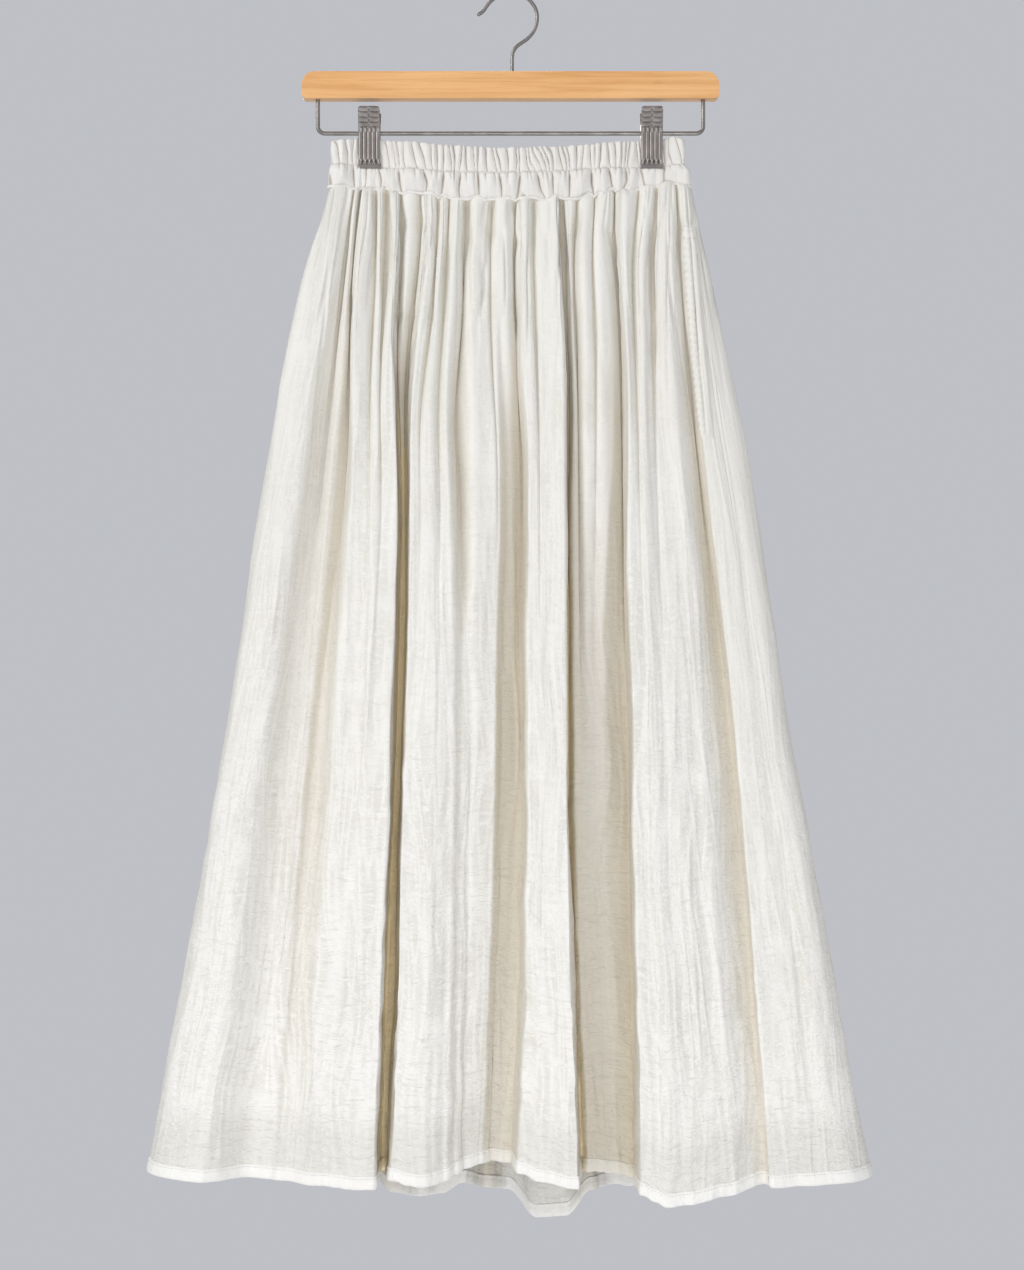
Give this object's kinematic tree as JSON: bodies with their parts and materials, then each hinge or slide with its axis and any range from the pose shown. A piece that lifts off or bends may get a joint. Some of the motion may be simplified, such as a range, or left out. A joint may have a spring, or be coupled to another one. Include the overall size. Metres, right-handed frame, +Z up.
{
  "type": "gathered maxi skirt on a clip hanger",
  "caption": "Ankle-length flared skirt of crinkled cotton gauze, gathered onto an elastic waistband, clipped to a wooden hanger with a wire hook and rail.",
  "frame": {"origin": "inside top of the hanger's hook, where a rail bears", "axes": "+Z up, against gravity; -Y is the skirt's front; +X is to the viewer's right when seen from the front"},
  "size_m": [0.6176, 0.1115, 1.0572],
  "materials": {
    "cotton_gauze": "matt, warm off-white, crinkled double gauze",
    "turned_hem": "matt, turned twice and stitched",
    "elastic_band": "matt, gathered over elastic",
    "bar_wood": "satin varnish, fine straight grain",
    "hook_wire": "bright plated wire",
    "rail_wire": "plated wire",
    "clip_steel": "warm grey nickel plate"
  },
  "bodies": {
    "root": {"front_panel": "cotton_gauze", "back_panel": "cotton_gauze", "front_hem": "turned_hem", "back_hem": "turned_hem", "waistband_front": "elastic_band", "waistband_back": "elastic_band", "hanger_bar": "bar_wood", "hook": "hook_wire", "hanger_rail": "rail_wire", "clip_left_front_jaw": "clip_steel", "clip_left_back_jaw": "clip_steel", "clip_left_spring": "clip_steel", "clip_right_front_jaw": "clip_steel", "clip_right_back_jaw": "clip_steel", "clip_right_spring": "clip_steel"}
  },
  "joints": []
}
